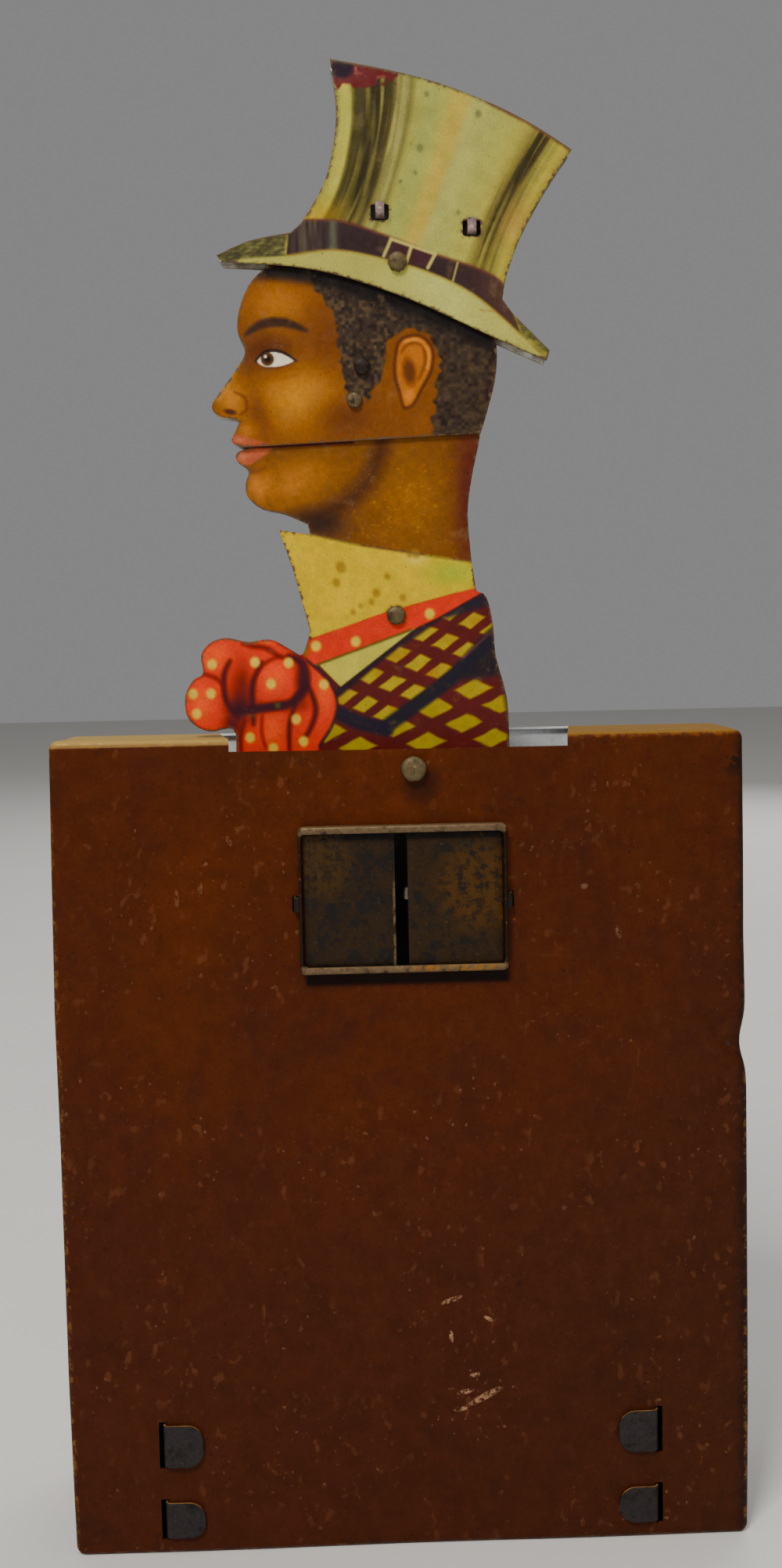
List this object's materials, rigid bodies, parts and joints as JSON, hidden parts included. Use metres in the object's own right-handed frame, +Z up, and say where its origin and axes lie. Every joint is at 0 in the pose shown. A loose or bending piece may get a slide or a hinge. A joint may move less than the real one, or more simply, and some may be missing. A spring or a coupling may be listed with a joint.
{
  "type": "mechanical coin bank",
  "caption": "Flat tin mechanical coin bank: a coin pushed through the slot in the case tips back the head and tall hat of a flat printed figure that stands on top.",
  "frame": {"origin": "on the ground, below the middle of the case", "axes": "+Z up; the panel with the coin slot faces -Y, the printed front of the case faces +Y; the figure looks towards -X"},
  "size_m": [0.1102, 0.0366, 0.2381],
  "materials": {
    "brown_enamel": "worn satin enamel",
    "printed_case": "satin lithographed tin",
    "aged_steel": "rusty",
    "dark_steel": "darkened",
    "plain_tin": "dull tin plate",
    "body_print": "satin lithographed tin",
    "head_print": "satin lithographed tin",
    "hat_print": "satin lithographed tin",
    "rivet_steel": "aged",
    "spring_steel": "bright drawn wire"
  },
  "bodies": {
    "case": {"rear_shell": "brown_enamel", "front_shell": "printed_case", "slot_frame": "aged_steel", "slot_plate_left": "aged_steel", "slot_plate_right": "aged_steel", "base_tray": "dark_steel", "body_plate_rear": "body_print", "body_plate_front": "body_print", "hat_link_pin": "rivet_steel", "case_rivet": "rivet_steel", "case_rivet_spacer": "plain_tin", "plate_washer": "plain_tin", "rocker_rivet": "rivet_steel", "head_rivet": "rivet_steel", "return_spring": "spring_steel", "spring_bracket": "plain_tin"},
    "head": {"head_plate_rear": "head_print", "head_plate_front": "head_print", "rocker_pin": "rivet_steel"},
    "hat": {"hat_plate_rear": "hat_print", "hat_plate_front": "hat_print", "hat_rivet": "rivet_steel"},
    "rocker": {"rocker": "plain_tin"},
    "hat_link": {"hat_link": "plain_tin"},
    "trap": {"trap_door": "plain_tin"}
  },
  "joints": [
    {"name": "head_tilt", "type": "hinge", "parent": "case", "child": "head", "pos_m": [-0.0044, -0.008, 0.1912], "axis": [0, 1, 0], "range_deg": [0, 15], "stiffness_Nm_per_rad": 0.008, "springref_deg": -22.92},
    {"name": "hat_tip", "type": "hinge", "parent": "head", "child": "hat", "pos_m": [0.0015, -0.008, 0.2072], "axis": [0, 1, 0], "range_deg": [0, 8.3]},
    {"name": "rocker_swing", "type": "hinge", "parent": "case", "child": "rocker", "pos_m": [0.0003, -0.008, 0.152], "axis": [0, 1, 0], "range_deg": [-2.1, 0], "deforming": ["return_spring"]},
    {"name": "hat_link_swing", "type": "hinge", "parent": "case", "child": "hat_link", "pos_m": [-0.00925, -0.008, 0.1909], "axis": [0, 1, 0], "range_deg": [0, 16.3]},
    {"name": "trap_slide", "type": "slide", "parent": "case", "child": "trap", "axis": [1, 0, 0], "range_m": [0, 0.022]}
  ],
  "couplings": [
    {"joint": "hat_tip", "follows": "head_tilt", "ratio": 0.55},
    {"joint": "rocker_swing", "follows": "head_tilt", "ratio": -0.1325},
    {"joint": "hat_link_swing", "follows": "head_tilt", "ratio": 1.08}
  ]
}
